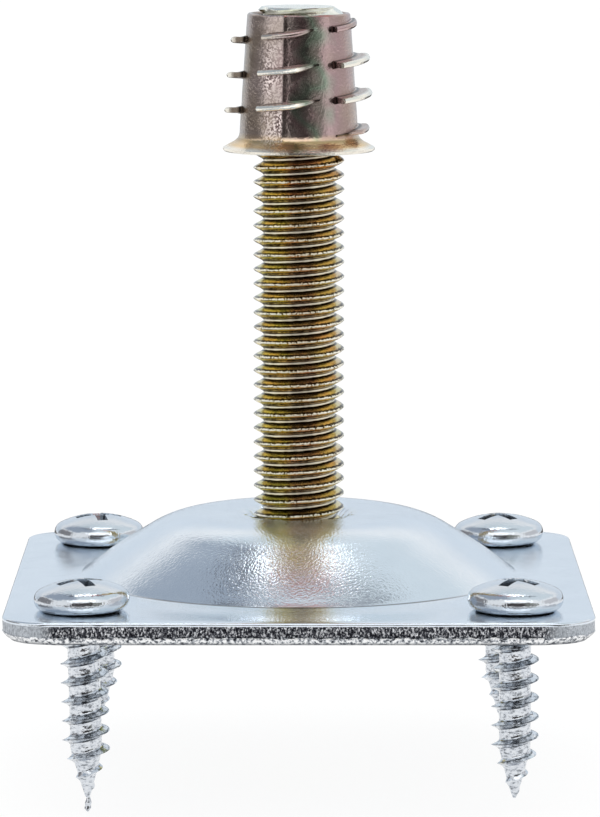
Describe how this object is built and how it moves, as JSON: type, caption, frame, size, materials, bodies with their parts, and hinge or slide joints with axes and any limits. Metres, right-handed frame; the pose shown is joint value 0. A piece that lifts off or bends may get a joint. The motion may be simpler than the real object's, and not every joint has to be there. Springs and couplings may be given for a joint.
{
  "type": "furniture leg mounting plate",
  "caption": "Square domed steel plate with a captive threaded stud, a flanged insert nut on the stud and a wood screw standing in each corner hole.",
  "frame": {"origin": "centre of the plate's lower mounting face, on the stud's axis", "axes": "+Z along the stud, away from the mounting face; +X and +Y along the plate's sides"},
  "size_m": [0.049, 0.049, 0.0663],
  "materials": {
    "bright_zinc_sheet": "bright blue-white zinc plate on pressed steel",
    "yellow_zinc_steel": "yellow chromate zinc plate on rolled steel",
    "yellow_zinc_casting": "iridescent yellow chromate on cast zinc alloy",
    "bright_zinc_screw": "bright zinc plate on steel"
  },
  "bodies": {
    "plate": {"base_plate": "bright_zinc_sheet", "stud_bolt": "yellow_zinc_steel", "wood_screws": "bright_zinc_screw"},
    "insert": {"threaded_insert": "yellow_zinc_casting"}
  },
  "joints": [
    {"name": "insert_travel", "type": "slide", "parent": "plate", "child": "insert", "axis": [0, 0, 1], "range_m": [-0.03, 0.0075]}
  ]
}
